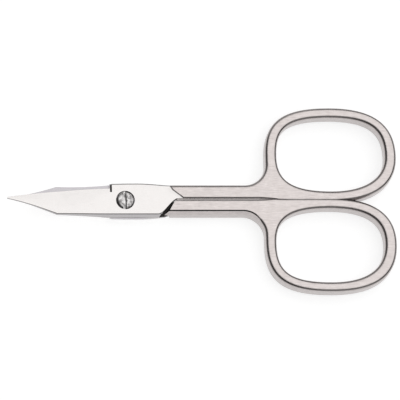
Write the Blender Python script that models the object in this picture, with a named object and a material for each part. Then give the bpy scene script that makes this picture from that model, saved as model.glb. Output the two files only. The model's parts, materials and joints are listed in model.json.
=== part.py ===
"""Nail scissors: two forged steel halves lapped over each other and held by one slotted pivot screw.

Both halves come from one forging shape. The rear half is the front half turned over about the
scissors' long axis, apart from its blade, which is bent to the same side as the front one.
Each half is drawn in the pivot's frame: +X runs towards the finger rings, the blade points to -X,
+Y is the side of the half's own ring, and Z = 0 is the plane in which the two halves meet.
"""

import math

import bmesh
import bpy
from mathutils import Matrix, Vector

# Overall sizes, in metres. Together the two reaches are the scissors' length.
TIP_REACH = 0.0273  # pivot to blade tip
RING_REACH = 0.0627  # pivot to the far end of the finger rings
HANDLE_THICKNESS = 0.0044
SLIDE_GAP = 0.0003  # between the two halves, over the lap and between the closed handles
SCREW_GAP = 0.00025  # around the pivot screw
OVERRUN = 0.001  # how far a cutter runs past the face that it cuts
EMBED = 0.0001  # how deep joined solids reach into each other

# Handle: flat faces with bulging sides.
SIDE_BULGE = 0.00073  # how far the sides stand out from the edge of the flats
CONTACT_EDGE = 0.0001  # broken edge where the closed handles meet
SHANK_RELIEF = 0.0002  # how much further the shanks' edges stand apart
SHANK_WIDTH = 0.0024  # width of the shank's flat
SHANK_FILLET = 0.0055  # where the shank's outer edge runs into the ring
HANDLE_START = 0.007  # inner end of the handle, buried in the joint plate
CONTACT_LENGTH = 0.0090  # full contact, from the ring's middle back towards the pivot
RELIEF_RUN_OUT = 0.0085  # length over which the relief between the shanks closes

# Finger ring: a clear hole at mid-thickness, and the rim's flat widths around it.
FINGER_HOLE_LENGTH = 0.0248
FINGER_HOLE_WIDTH = 0.0171
RIM_OUTER = 0.0011
RIM_END = 0.0016
RIM_SHANK = 0.00115
RIM_CONTACT = 0.00123
HOLE_MIDDLE_SHARE = 0.48  # height of the hole's widest place
ROUND_SHARE = 0.5523  # handle length that makes a Bezier quarter round
# How square each quarter of the hole is: its upright handle, then its level handle.
OUTER_SHANK_SHARES = (0.72, 0.76)
OUTER_END_SHARES = (0.55, 0.61)
CONTACT_END_SHARES = (0.60, 0.64)
CONTACT_SHANK_SHARES = (0.69, 0.73)
RING_CONTACT_SHARE = 0.70  # the rim's own level handle where the closed rings part

# Joint plate: the flat lap around the pivot.
PLATE_THICKNESS = 0.0015  # from the meeting plane to the outer face
PLATE_BACK = 0.00313  # pivot line to the straight back edge of the outer face
PLATE_FRONT = 0.00355  # pivot line to the crowned edge on the ring's side
PLATE_CROWN = 0.0001  # how much the crowned edge falls towards the heel
PLATE_SHANK_EDGE = 0.00295  # where that edge has run into the shank
PLATE_FLARE = 0.00045  # how far the sides stand out at the meeting plane
CROWN_PLACE = 0.003  # where the crowned edge is highest
CROWN_END = 0.012  # where it has reached the shank
PLATE_END = 0.013  # inside the handle
CORNER_START = 0.00695  # where the back edge turns up towards the shank
CORNER_END = 0.0113  # where it has run into the shank
CORNER_POWER = 1.75
CORNER_FLARE_LOSS_SHARE = 0.9  # how much of the flare is gone at the corner's end
CORNER_BURY = 0.0004  # where the plate's back edge ends inside the shank

# Shoulders: where the handle thickens beside the other half's plate.
SHOULDER_GAP = 0.0003
SHOULDER_RAMP = 0.0012  # how far the shoulder leans back at the shank's outer side
STEP_SETBACK = 0.0012  # from the inner shoulder to the step on the outer face
STEP_RAMP = 0.0002
CORNER_POINTS = 8

# Blade: bent towards the user, hollow inside, ground thin outside, with a tower point.
HEEL = 0.0035  # pivot to the heel
KNEE = 0.0158  # pivot to the knee in the back
BEND_RADIUS = 0.080
EDGE_SWEEP_POWER = 1.5
POINT_SWEEP_POWER = 1.3
BLADE_EDGE = 0.0035  # pivot line to the cutting edge at the heel
BLADE_FLARE = 0.0003  # how far the back stands out at the inner face
TIP_FLARE_SHARE = 0.15
EDGE_BEVEL = 0.00004
HEEL_EDGE_THICKNESS = 0.0009
EDGE_THICKNESS = 0.00014
EDGE_RUN = 0.005  # length over which the edge thins out
KNEE_THICKNESS = 0.0009
TIP_THICKNESS = 0.0004
TIP_HALF_WIDTH = 0.0001
GRIND_START = 0.0016  # width of the ground face at the heel
GRIND_RUN = 0.0065  # length over which it spreads to the back
GRIND_SPREAD_SHARE = 0.92  # of the blade's width
HOLLOW_DEPTH = 0.0001
HOLLOW_RUN = 0.003
NOTCH_WIDTH = 0.0005  # slot that ends the cutting edge at the heel
NOTCH_DEPTH = 0.0016

# Pivot screw.
HEAD_RADIUS = 0.00205
HEAD_PROUD = 0.0002
HEAD_DOME = 0.00012
HEAD_THICKNESS = 0.0008
HEAD_CHAMFER = 0.00012
NECK_RADIUS = 0.0013
SLOT_WIDTH = 0.00065
SLOT_DEPTH = 0.0004
SLOT_ANGLE = math.radians(-5)
ROUND_SEGMENTS = 40

# Mesh fineness.
ARC_STEPS = 10
BULGE_STEPS = 3
SIDE_STEPS = 3
FACE_STEPS = 3
PLATE_STATIONS = 6
CORNER_STATIONS = 7
BLADE_STATIONS = 9
POINT_STATIONS = 9

# Places that follow from the sizes.
PIVOT_X = (TIP_REACH - RING_REACH) / 2
MEETING_Z = HANDLE_THICKNESS / 2
LAP_FACE = SLIDE_GAP / 2
CONTACT_FLAT = LAP_FACE + CONTACT_EDGE
SHANK_INNER = CONTACT_FLAT + SHANK_RELIEF
SHANK_OUTER = SHANK_INNER + SHANK_WIDTH

STEEL_COLOUR = (0.72, 0.70, 0.69, 1.0)
SCREW_COLOUR = (0.66, 0.65, 0.64, 1.0)
STEEL_ROUGHNESS = 0.32
SCREW_ROUGHNESS = 0.25


def clear_scene():
    """Removes every object, so that the scissors stand alone."""
    for thing in list(bpy.data.objects):
        bpy.data.objects.remove(thing, do_unlink=True)


def new_collection(name):
    """Makes a collection in the scene."""
    collection = bpy.data.collections.new(name)
    bpy.context.scene.collection.children.link(collection)
    return collection


def steel(name, colour, roughness):
    """Makes a plain metal material."""
    material = bpy.data.materials.new(name)
    material.use_nodes = True
    shader = material.node_tree.nodes["Principled BSDF"]
    shader.inputs["Base Color"].default_value = colour
    shader.inputs["Metallic"].default_value = 1.0
    shader.inputs["Roughness"].default_value = roughness
    return material


def place(thing, collection, frame):
    """Puts an object in a collection, in the frame of an empty."""
    collection.objects.link(thing)
    thing.parent = frame
    return thing


def as_cutter(thing):
    """Marks an object as one that only cuts or fills another."""
    thing.hide_render = True
    thing.display_type = "WIRE"
    return thing


def combine(target, tool, operation):
    """Cuts or joins the target with a tool object."""
    modifier = target.modifiers.new(tool.name, "BOOLEAN")
    modifier.operation = operation
    modifier.solver = "EXACT"
    modifier.object = tool


def shade(mesh):
    """Smooths the round faces and keeps the real edges."""
    mesh.shade_smooth()
    mesh.set_sharp_from_angle(angle=math.radians(30))


def mesh_object(name, build):
    """Makes a mesh object from what the build function adds to an empty bmesh."""
    work = bmesh.new()
    build(work)
    bmesh.ops.recalc_face_normals(work, faces=work.faces)
    mesh = bpy.data.meshes.new(name)
    work.to_mesh(mesh)
    work.free()
    shade(mesh)
    return bpy.data.objects.new(name, mesh)


def prism(name, outline, low, high, lean):
    """Makes an upright prism; each corner of its far end is moved along X by lean(y)."""

    def build(work):
        floor = [work.verts.new((x, y, low)) for x, y in outline]
        face = work.faces.new(floor)
        raised = bmesh.ops.extrude_face_region(work, geom=[face])["geom"]
        for corner in (item for item in raised if isinstance(item, bmesh.types.BMVert)):
            corner.co = Vector((corner.co.x + lean(corner.co.y), corner.co.y, high))

    return mesh_object(name, build)


def cylinder(name, radius, low, high):
    """Makes an upright cylinder about the pivot."""

    def build(work):
        bmesh.ops.create_cone(
            work,
            cap_ends=True,
            segments=ROUND_SEGMENTS,
            radius1=radius,
            radius2=radius,
            depth=high - low,
            matrix=Matrix.Translation((0, 0, (low + high) / 2)),
        )

    return mesh_object(name, build)


def box(name, low, high):
    """Makes a box between two corners."""
    size = Vector(high) - Vector(low)
    middle = (Vector(high) + Vector(low)) / 2

    def build(work):
        matrix = Matrix.Translation(middle) @ Matrix.Diagonal(size.to_4d())
        bmesh.ops.create_cube(work, size=1.0, matrix=matrix)

    return mesh_object(name, build)


# Finger ring and handle


class Ring:
    """The places of one finger ring's flat, worked out from the clear hole and the rim's widths."""

    end = RING_REACH - SIDE_BULGE
    hole_end = end - RIM_END
    hole_start = hole_end - FINGER_HOLE_LENGTH - 2 * SIDE_BULGE
    start = hole_start - RIM_SHANK
    hole_low = CONTACT_FLAT + RIM_CONTACT
    hole_high = hole_low + FINGER_HOLE_WIDTH + 2 * SIDE_BULGE
    high = hole_high + RIM_OUTER
    centre = (hole_start + hole_end) / 2
    middle = hole_low + HOLE_MIDDLE_SHARE * (hole_high - hole_low)


def rim_share(share, half_hole, rim):
    """Eases a hole's handle share towards a round arc, for the rim's outer edge."""
    return (share * half_hole + ROUND_SHARE * rim) / (half_hole + rim)


def add_spline(curve, points):
    """Adds a closed Bezier outline; each point is its place and its arriving and leaving handle."""
    spline = curve.splines.new("BEZIER")
    spline.bezier_points.add(len(points) - 1)
    spline.use_cyclic_u = True
    for knot, (spot, arriving, leaving) in zip(spline.bezier_points, points):
        knot.co = (*spot, 0)
        for side, handle in (("left", arriving), ("right", leaving)):
            setattr(knot, f"handle_{side}_type", "FREE" if handle else "VECTOR")
            if handle:
                reach = (spot[0] + handle[0], spot[1] + handle[1], 0)
                setattr(knot, f"handle_{side}", reach)


def oval(low, high, start, end, quarters):
    """Returns the four knots of a ring outline, clockwise from its shank side."""
    outer_shank, outer_end, contact_end, contact_shank = quarters
    over, under = high - Ring.middle, Ring.middle - low
    back, ahead = Ring.centre - start, end - Ring.centre
    return [
        ((start, Ring.middle), (0, -contact_shank[0] * under), (0, outer_shank[0] * over)),
        ((Ring.centre, high), (-outer_shank[1] * back, 0), (outer_end[1] * ahead, 0)),
        ((end, Ring.middle), (0, outer_end[0] * over), (0, -contact_end[0] * under)),
        ((Ring.centre, low), (contact_end[1] * ahead, 0), (-contact_shank[1] * back, 0)),
    ]


def hole_outline():
    """Returns the knots of the finger hole."""
    quarters = (OUTER_SHANK_SHARES, OUTER_END_SHARES, CONTACT_END_SHARES, CONTACT_SHANK_SHARES)
    return oval(Ring.hole_low, Ring.hole_high, Ring.hole_start, Ring.hole_end, quarters)


def handle_outline():
    """Returns the knots around the flat: shank, fillet, ring, closed contact and relief."""
    half_height = Ring.hole_high - Ring.middle
    half_length = Ring.centre - Ring.hole_start
    outer_shank = (
        rim_share(OUTER_SHANK_SHARES[0], half_height, RIM_OUTER),
        rim_share(OUTER_SHANK_SHARES[1], half_length, RIM_SHANK),
    )
    outer_end = (
        rim_share(OUTER_END_SHARES[0], half_height, RIM_OUTER),
        rim_share(OUTER_END_SHARES[1], half_length, RIM_END),
    )
    contact_end = (rim_share(CONTACT_END_SHARES[0], half_height, RIM_CONTACT), RING_CONTACT_SHARE)
    quarters = (outer_shank, outer_end, contact_end, CONTACT_SHANK_SHARES)
    side, top, end, bottom = oval(CONTACT_FLAT, Ring.high, Ring.start, Ring.end, quarters)
    arm = ROUND_SHARE * SHANK_FILLET
    contact_start = Ring.centre - CONTACT_LENGTH
    ease = RELIEF_RUN_OUT / 2
    return [
        ((HANDLE_START, SHANK_OUTER), None, None),
        ((Ring.start - SHANK_FILLET, SHANK_OUTER), None, (arm, 0)),
        ((Ring.start, SHANK_OUTER + SHANK_FILLET), (0, -arm), None),
        (side[0], None, side[2]),
        top,
        end,
        (bottom[0], bottom[1], None),
        ((contact_start, CONTACT_FLAT), None, (-ease, 0)),
        ((contact_start - RELIEF_RUN_OUT, SHANK_INNER), (ease, 0), None),
        ((HANDLE_START, SHANK_INNER), None, None),
    ]


def handle_solid(name):
    """Makes the handle: a filled outline whose half-round bevel is stretched into bulging sides."""
    curve = bpy.data.curves.new(name, "CURVE")
    curve.dimensions = "2D"
    curve.fill_mode = "BOTH"
    curve.resolution_u = ARC_STEPS
    curve.bevel_depth = SIDE_BULGE
    curve.bevel_resolution = BULGE_STEPS - 1
    add_spline(curve, handle_outline())
    add_spline(curve, hole_outline())
    drawn = bpy.data.objects.new(name, curve)
    drawn.scale.z = HANDLE_THICKNESS / 2 / SIDE_BULGE
    bpy.context.scene.collection.objects.link(drawn)
    bpy.context.view_layer.update()
    solid = bpy.data.meshes.new_from_object(drawn.evaluated_get(bpy.context.evaluated_depsgraph_get()))
    stretch = drawn.matrix_world.copy()
    bpy.data.objects.remove(drawn)
    bpy.data.curves.remove(curve)
    work = bmesh.new()
    work.from_mesh(solid)
    bmesh.ops.transform(work, matrix=stretch, verts=work.verts)
    bmesh.ops.remove_doubles(work, verts=work.verts, dist=EMBED / 100)
    bmesh.ops.recalc_face_normals(work, faces=work.faces)
    work.to_mesh(solid)
    work.free()
    solid.name = name
    shade(solid)
    return bpy.data.objects.new(name, solid)


# Joint plate and blade


def spread(start, end, count):
    """Returns evenly spaced places, without the last."""
    return [start + (end - start) * step / count for step in range(count)]


def ease_in_out(share):
    """Runs smoothly from 0 to 1."""
    share = min(max(share, 0), 1)
    return share * share * (3 - 2 * share)


def corner_share(x):
    """Returns how far along its turn the plate's back edge is, from 0 to 1."""
    return min(max((x - CORNER_START) / (CORNER_END - CORNER_START), 0), 1)


def corner_flare(x):
    """Returns how far the plate's back stands out at the meeting plane."""
    return PLATE_FLARE * (1 - CORNER_FLARE_LOSS_SHARE * corner_share(x) ** 2)


def corner_back(x):
    """Returns how far the plate's back edge lies from the pivot line; it ends inside the shank."""
    return PLATE_BACK - (PLATE_BACK + CONTACT_FLAT) * corner_share(x) ** CORNER_POWER


def bend(x, y, side):
    """Returns the height of the bent meeting surface, which is turned about the pivot axis."""
    reach = math.hypot(x, y)
    if x > 0 or reach < HEEL:
        return 0
    return side * (reach - HEEL) ** 2 / (2 * BEND_RADIUS)


def plate_section(x):
    """Returns the plate's widths and thicknesses at a place between the heel and the shank."""
    fall = PLATE_CROWN * (max(CROWN_PLACE - x, 0) / (CROWN_PLACE + HEEL)) ** 2
    run_in = ease_in_out((x - CROWN_PLACE) / (CROWN_END - CROWN_PLACE))
    front = PLATE_FRONT - fall - (PLATE_FRONT - PLATE_SHANK_EDGE) * run_in
    buried = max(x - CORNER_END, 0) / (PLATE_END - CORNER_END)
    thickness = PLATE_THICKNESS - LAP_FACE
    return {
        "front": front,
        "front_flare": PLATE_FLARE,
        "back": corner_back(x) - CORNER_BURY * buried,
        "back_flare": corner_flare(x),
        "edge_thickness": thickness,
        "back_thickness": thickness,
        "ground": GRIND_START,
        "hollow": 0,
    }


def blade_section(x):
    """Returns the blade's widths and thicknesses at a place between the heel and the tip."""
    length = TIP_REACH - HEEL
    past_heel = -x - HEEL
    share = past_heel / length
    left = min((TIP_REACH + x) / (TIP_REACH - KNEE), 1)
    tip = TIP_HALF_WIDTH * share
    front = BLADE_EDGE * (1 - share**EDGE_SWEEP_POWER) + tip
    back = PLATE_BACK * left**POINT_SWEEP_POWER + tip
    full = PLATE_THICKNESS - LAP_FACE
    thin = max(1 - past_heel / EDGE_RUN, 0)
    towards_knee = min(max((past_heel - GRIND_RUN) / (KNEE - HEEL - GRIND_RUN), 0), 1)
    at_back = full + (KNEE_THICKNESS - full) * towards_knee
    at_back += (TIP_THICKNESS - KNEE_THICKNESS) * (1 - left)
    width = front + back
    spreading = min(past_heel / GRIND_RUN, 1)
    ground = GRIND_START + (GRIND_SPREAD_SHARE * width - GRIND_START) * spreading
    return {
        "front": front,
        "front_flare": EDGE_BEVEL,
        "back": back,
        "back_flare": BLADE_FLARE * max(left, TIP_FLARE_SHARE),
        "edge_thickness": EDGE_THICKNESS + (HEEL_EDGE_THICKNESS - EDGE_THICKNESS) * thin,
        "back_thickness": at_back,
        "ground": min(ground, GRIND_SPREAD_SHARE * width),
        "hollow": HOLLOW_DEPTH * min(past_heel / HOLLOW_RUN, 1) * left,
    }


def section_points(x, side, section):
    """Returns the section's corners: inner face, cutting side, outer face and back."""
    front, back = section["front"], section["back"]
    inner_front = front + section["front_flare"]
    inner_back = back + section["back_flare"]
    lap, edge, spine = LAP_FACE, section["edge_thickness"], section["back_thickness"]
    points = []
    steps = 2 * FACE_STEPS
    for step in range(steps):
        share = step / steps
        y = -inner_back + (inner_front + inner_back) * share
        points.append((y, lap + section["hollow"] * 4 * share * (1 - share)))
    for step in range(SIDE_STEPS):
        turn = math.pi / 2 * step / SIDE_STEPS
        points.append((front + section["front_flare"] * math.cos(turn), lap + edge * math.sin(turn)))
    ground = section["ground"]
    for step in range(FACE_STEPS):
        share = step / FACE_STEPS
        points.append((front - ground * share, lap + edge + (spine - edge) * share))
    points.append((front - ground, lap + spine))
    for step in range(SIDE_STEPS):
        turn = math.pi / 2 * step / SIDE_STEPS
        points.append((-back - section["back_flare"] * math.sin(turn), lap + spine * math.cos(turn)))
    return [Vector((x, y, z + bend(x, y, side))) for y, z in points]


def blade_solid(name, side):
    """Lofts the joint plate and the blade through their sections, from the shank to the tip."""
    places = spread(PLATE_END, CORNER_END, 2)
    places += spread(CORNER_END, CORNER_START, CORNER_STATIONS)
    places += spread(CORNER_START, -HEEL + NOTCH_WIDTH / 3, PLATE_STATIONS)
    places.append(-HEEL + NOTCH_WIDTH / 3)
    sections = [section_points(x, side, plate_section(x)) for x in places]
    blade = [-HEEL - NOTCH_WIDTH / 3] + spread(-HEEL - NOTCH_WIDTH, -KNEE, BLADE_STATIONS)
    blade += spread(-KNEE, -TIP_REACH, POINT_STATIONS) + [-TIP_REACH]
    sections += [section_points(x, side, blade_section(x)) for x in blade]

    def build(work):
        rings = [[work.verts.new(point) for point in section] for section in sections]
        count = len(rings[0])
        for near, far in zip(rings, rings[1:]):
            for spot in range(count):
                after = (spot + 1) % count
                work.faces.new((near[spot], near[after], far[after], far[spot]))
        work.faces.new(rings[0])
        work.faces.new(rings[-1])
        bmesh.ops.triangulate(work, faces=work.faces)

    return mesh_object(name, build)


def shoulder_outline(setback):
    """Returns the outline beside which the handle thickens, clear of the other half's plate."""
    top = SHANK_OUTER + SIDE_BULGE + OVERRUN
    start = HANDLE_START - OVERRUN - 2 * SHOULDER_RAMP
    outline = [(start, -OVERRUN), (start, top)]
    outline.append((CORNER_START + setback, top))
    turn = CORNER_END - CORNER_START
    for step in range(CORNER_POINTS + 1):
        share = step / CORNER_POINTS
        x = CORNER_START + turn * share
        fall = (PLATE_BACK + CONTACT_FLAT) * CORNER_POWER * share ** (CORNER_POWER - 1)
        along = Vector((turn, -fall)).normalized()
        clear = corner_flare(x) + SHOULDER_GAP
        outline.append((x + setback - along.y * clear, corner_back(x) + along.x * clear))
    outline.append((outline[-1][0], -OVERRUN))
    return outline


def shape_handle(handle, cutters, frame, name):
    """Cuts the flat contact face and the two shoulders."""
    flat = box(
        f"{name}_contact_cutter",
        (HANDLE_START - OVERRUN, -SIDE_BULGE - OVERRUN, -HANDLE_THICKNESS),
        (RING_REACH + OVERRUN, LAP_FACE, HANDLE_THICKNESS),
    )
    outer = HANDLE_THICKNESS / 2 + OVERRUN
    inner_shoulder = prism(
        f"{name}_shoulder_cutter",
        shoulder_outline(0),
        LAP_FACE + EMBED,
        -outer,
        lambda y: SHOULDER_RAMP * y / SHANK_OUTER,
    )
    outer_step = prism(
        f"{name}_step_cutter",
        shoulder_outline(STEP_SETBACK),
        PLATE_THICKNESS - EMBED,
        outer,
        lambda y: STEP_RAMP,
    )
    for tool in (flat, inner_shoulder, outer_step):
        combine(handle, as_cutter(place(tool, cutters, frame)), "DIFFERENCE")


def cut_notch(half, cutters, frame, name):
    """Cuts the slot that ends the cutting edge at the heel."""
    slot = box(
        f"{name}_notch_cutter",
        (-HEEL - NOTCH_WIDTH / 2, BLADE_EDGE - NOTCH_DEPTH, -OVERRUN),
        (-HEEL + NOTCH_WIDTH / 2, PLATE_FRONT + PLATE_FLARE + OVERRUN, PLATE_THICKNESS + OVERRUN),
    )
    combine(half, as_cutter(place(slot, cutters, frame)), "DIFFERENCE")


def make_half(name, side, parts, cutters, frame):
    """Makes one half: handle, joint plate and blade, with its bore for the pivot screw."""
    half = place(handle_solid(name), parts, frame)
    shape_handle(half, cutters, frame, name)
    blade = blade_solid(f"{name}_blade_stock", side)
    combine(half, as_cutter(place(blade, cutters, frame)), "UNION")
    cut_notch(half, cutters, frame, name)
    bore = cylinder(f"{name}_bore_cutter", NECK_RADIUS + SCREW_GAP, -OVERRUN, PLATE_THICKNESS + OVERRUN)
    combine(half, as_cutter(place(bore, cutters, frame)), "DIFFERENCE")
    half.data.materials.clear()
    half.data.materials.append(steel(f"{name}_steel", STEEL_COLOUR, STEEL_ROUGHNESS))
    return half


def sink_head(half, cutters, frame):
    """Cuts the recess in which the screw's head sits."""
    floor = PLATE_THICKNESS + HEAD_PROUD - HEAD_THICKNESS - SCREW_GAP
    recess = cylinder(
        f"{half.name}_recess_cutter",
        HEAD_RADIUS + SCREW_GAP,
        floor,
        PLATE_THICKNESS + OVERRUN,
    )
    combine(half, as_cutter(place(recess, cutters, frame)), "DIFFERENCE")


def make_screw(parts, cutters, frame):
    """Turns the slotted screw; its neck ends flush with the rear half."""
    top = PLATE_THICKNESS + HEAD_PROUD
    under = top - HEAD_THICKNESS
    profile = [
        (0, top + HEAD_DOME),
        (HEAD_RADIUS / 2, top + HEAD_DOME * 3 / 4),
        (HEAD_RADIUS - HEAD_CHAMFER, top),
        (HEAD_RADIUS, top - HEAD_CHAMFER),
        (HEAD_RADIUS, under),
        (NECK_RADIUS, under),
        (NECK_RADIUS, -PLATE_THICKNESS + HEAD_CHAMFER),
        (NECK_RADIUS - HEAD_CHAMFER, -PLATE_THICKNESS),
        (0, -PLATE_THICKNESS),
    ]

    def build(work):
        spots = [work.verts.new((radius, 0, height)) for radius, height in profile]
        edges = [work.edges.new(pair) for pair in zip(spots, spots[1:])]
        bmesh.ops.spin(
            work,
            geom=spots + edges,
            axis=(0, 0, 1),
            cent=(0, 0, 0),
            angle=2 * math.pi,
            steps=ROUND_SEGMENTS,
        )
        bmesh.ops.remove_doubles(work, verts=work.verts, dist=EMBED / 100)

    screw = place(mesh_object("pivot_screw", build), parts, frame)
    reach = HEAD_RADIUS + OVERRUN
    slot = box(
        "pivot_screw_slot_cutter",
        (-SLOT_WIDTH / 2, -reach, top - SLOT_DEPTH),
        (SLOT_WIDTH / 2, reach, top + HEAD_DOME + OVERRUN),
    )
    slot.rotation_euler.z = SLOT_ANGLE
    combine(screw, as_cutter(place(slot, cutters, frame)), "DIFFERENCE")
    screw.data.materials.append(steel("pivot_screw_steel", SCREW_COLOUR, SCREW_ROUGHNESS))
    return screw


def make_frame(name, turn):
    """Makes an empty on the pivot axis; the rear half's is turned over about the long axis."""
    frame = bpy.data.objects.new(name, None)
    frame.location = (PIVOT_X, 0, MEETING_Z)
    frame.rotation_euler.x = turn
    bpy.context.scene.collection.objects.link(frame)
    return frame


def main():
    """Builds the closed scissors, lying with the backs of both handles on Z = 0."""
    clear_scene()
    parts = new_collection("nail_scissors")
    cutters = new_collection("cutters")
    front_frame = make_frame("front_pivot", 0)
    rear_frame = make_frame("rear_pivot", math.pi)
    front = make_half("front_half", 1, parts, cutters, front_frame)
    sink_head(front, cutters, front_frame)
    make_half("rear_half", -1, parts, cutters, rear_frame)
    make_screw(parts, cutters, make_frame("screw_seat", 0))


main()
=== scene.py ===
"""Nail scissors: fine surfaces, steel finishes, a plain studio and the camera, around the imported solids.

Each half is modelled in the pivot's own frame, in metres: +X runs towards the finger rings, the blade
points to -X, +Y is the side of the half's own ring, and Z = 0 is the plane in which the halves meet.
The rear half is then turned over about the long axis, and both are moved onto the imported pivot.
"""

import json
import logging
import math
from collections.abc import Iterator, Sequence
from contextlib import contextmanager
from dataclasses import dataclass
from enum import Enum

import bmesh
import bpy
from mathutils import Matrix, Vector

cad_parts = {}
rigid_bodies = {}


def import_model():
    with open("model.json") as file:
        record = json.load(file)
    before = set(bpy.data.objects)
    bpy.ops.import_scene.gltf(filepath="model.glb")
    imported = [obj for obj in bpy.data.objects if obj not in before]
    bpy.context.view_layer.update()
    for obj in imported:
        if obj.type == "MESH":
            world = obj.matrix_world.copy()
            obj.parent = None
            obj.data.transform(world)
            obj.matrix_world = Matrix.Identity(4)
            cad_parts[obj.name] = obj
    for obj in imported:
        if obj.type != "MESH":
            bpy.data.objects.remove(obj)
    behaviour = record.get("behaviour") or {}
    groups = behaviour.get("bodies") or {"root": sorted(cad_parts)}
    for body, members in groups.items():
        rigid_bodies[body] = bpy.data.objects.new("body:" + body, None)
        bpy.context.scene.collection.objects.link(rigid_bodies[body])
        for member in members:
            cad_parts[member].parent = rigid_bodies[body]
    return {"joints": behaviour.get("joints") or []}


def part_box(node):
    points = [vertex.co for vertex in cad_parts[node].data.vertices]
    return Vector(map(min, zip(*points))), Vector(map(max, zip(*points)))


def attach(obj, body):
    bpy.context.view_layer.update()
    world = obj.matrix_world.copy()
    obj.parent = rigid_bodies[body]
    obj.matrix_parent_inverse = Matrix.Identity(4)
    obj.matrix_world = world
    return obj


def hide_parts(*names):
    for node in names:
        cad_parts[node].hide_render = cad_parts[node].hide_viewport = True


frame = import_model()

LOG = logging.getLogger("nail_scissors")
MM = 0.001
NOTHING = 0.0
WELD = 0.001 * MM
OVERRUN = 1.0 * MM
IMAGE_SIDE = 400
SMOOTH_ANGLE = math.radians(28)
ROUND_SEGMENTS = 96
NODE_SPACING = 180
MIDDLE_SHARE = 0.5

Colour = tuple[float, float, float]
Pairs = Sequence[tuple[float, float]]
Knot = tuple[tuple[float, float], tuple[float, float] | None, tuple[float, float] | None]


class Side(Enum):
    """Which half of the scissors; the value is the sense in which its blade bends in its own frame."""

    FRONT = 1
    REAR = -1


class Cut(Enum):
    """How one solid changes another."""

    AWAY = "DIFFERENCE"
    JOIN = "UNION"


class Finish(Enum):
    """The finishes of the steel, and one painted shade; the value is the material's name."""

    BRUSHED = "brushed_steel"
    POLISHED = "polished_steel"
    GROUND = "ground_steel"
    SCREW = "turned_steel"
    # Painted shade: near-black steel put in the shoulder's gap, the heel notch, the slot's corner and
    # beside the rear shank's flat, where these lie in shade.
    PAINTED_SHADE = "tarnished_steel"


Finishes = dict[Finish, bpy.types.Material]


# Modelling by operators


def select_only(piece: bpy.types.Object) -> None:
    """Selects one object alone and makes it the active one.

    Args:
        piece: The object to select.
    """
    for other in bpy.context.view_layer.objects:
        other.select_set(False)
    piece.select_set(True)
    bpy.context.view_layer.objects.active = piece


@contextmanager
def editing(piece: bpy.types.Object) -> Iterator[None]:
    """Opens a mesh in edit mode for the calls inside the block.

    Args:
        piece: The mesh object.
    """
    select_only(piece)
    bpy.ops.object.mode_set(mode="EDIT")
    yield
    bpy.ops.object.mode_set(mode="OBJECT")


def named(name: str) -> bpy.types.Object:
    """Names the object that an operator has just added, and its data.

    Args:
        name: The name for both.

    Returns:
        The object.
    """
    piece = bpy.context.object
    piece.name = name
    piece.data.name = name
    return piece


def settle(piece: bpy.types.Object) -> None:
    """Moves an object's place, turn and scale into its mesh."""
    select_only(piece)
    bpy.ops.object.transform_apply(location=True, rotation=True, scale=True)


def close_up(piece: bpy.types.Object) -> None:
    """Merges doubled corners and turns every face outwards.

    Args:
        piece: The mesh object.
    """
    with editing(piece):
        bpy.ops.mesh.select_all(action="SELECT")
        bpy.ops.mesh.remove_doubles(threshold=WELD)
        bpy.ops.mesh.normals_make_consistent(inside=False)


def shape(piece: bpy.types.Object, tool: bpy.types.Object, how: Cut) -> None:
    """Cuts a tool out of a piece or joins it on, and removes the tool.

    Args:
        piece: The solid that changes.
        tool: The solid that cuts it or joins it.
        how: Whether the tool cuts or joins.
    """
    modifier = piece.modifiers.new(tool.name, "BOOLEAN")
    modifier.operation = how.value
    modifier.solver = "EXACT"
    modifier.object = tool
    modifier.material_mode = "TRANSFER"
    select_only(piece)
    bpy.ops.object.modifier_apply(modifier=modifier.name)
    bpy.data.objects.remove(tool)


def smooth(piece: bpy.types.Object) -> None:
    """Shades a piece smooth between its sharp edges."""
    select_only(piece)
    bpy.ops.object.shade_smooth_by_angle(angle=SMOOTH_ANGLE)


def dress(piece: bpy.types.Object, material: bpy.types.Material) -> bpy.types.Object:
    """Gives a whole piece one material and returns it."""
    piece.data.materials.append(material)
    return piece


def loft(name: str, sections: Sequence[Sequence[Vector]]) -> bpy.types.Object:
    """Makes a closed solid through sections: a filled ring on the first is extruded to each next one.

    Args:
        name: The new object's name.
        sections: Closed rings of points, each with as many points as the first.

    Returns:
        The new mesh object.
    """
    bpy.ops.mesh.primitive_circle_add(vertices=len(sections[0]), radius=MM, fill_type="NGON")
    piece = named(name)
    for corner, place in zip(piece.data.vertices, sections[0]):
        corner.co = place
    with editing(piece):
        bpy.ops.mesh.select_all(action="SELECT")
        mesh = bmesh.from_edit_mesh(piece.data)
        ring = list(mesh.verts)
        for section in sections[1:]:
            bpy.ops.mesh.extrude_region_move()
            ring = [
                next(edge.other_vert(old) for edge in old.link_edges if edge.other_vert(old).select)
                for old in ring
            ]
            for corner, place in zip(ring, section):
                corner.co = place
        bmesh.update_edit_mesh(piece.data)
    close_up(piece)
    return piece


def turned(name: str, profile: Pairs) -> bpy.types.Object:
    """Makes a solid of revolution about the pivot axis.

    Args:
        name: The new object's name.
        profile: Radius and height of each ring, from one end to the other.

    Returns:
        The new mesh object.
    """
    turns = steps_between(0, 2 * math.pi, ROUND_SEGMENTS)
    rings = [[Vector((r * math.cos(turn), r * math.sin(turn), z)) for turn in turns] for r, z in profile]
    return loft(name, rings)


def block(name: str, low: Vector, high: Vector) -> bpy.types.Object:
    """Makes a box.

    Args:
        name: The new object's name.
        low: Its lowest corner.
        high: Its highest corner.

    Returns:
        The new mesh object.
    """
    bpy.ops.mesh.primitive_cube_add(size=1, location=(low + high) / 2)
    piece = named(name)
    piece.scale = high - low
    settle(piece)
    return piece


def limited(share: float) -> float:
    """Keeps a share from 0 to 1."""
    return min(max(share, 0), 1)


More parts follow.
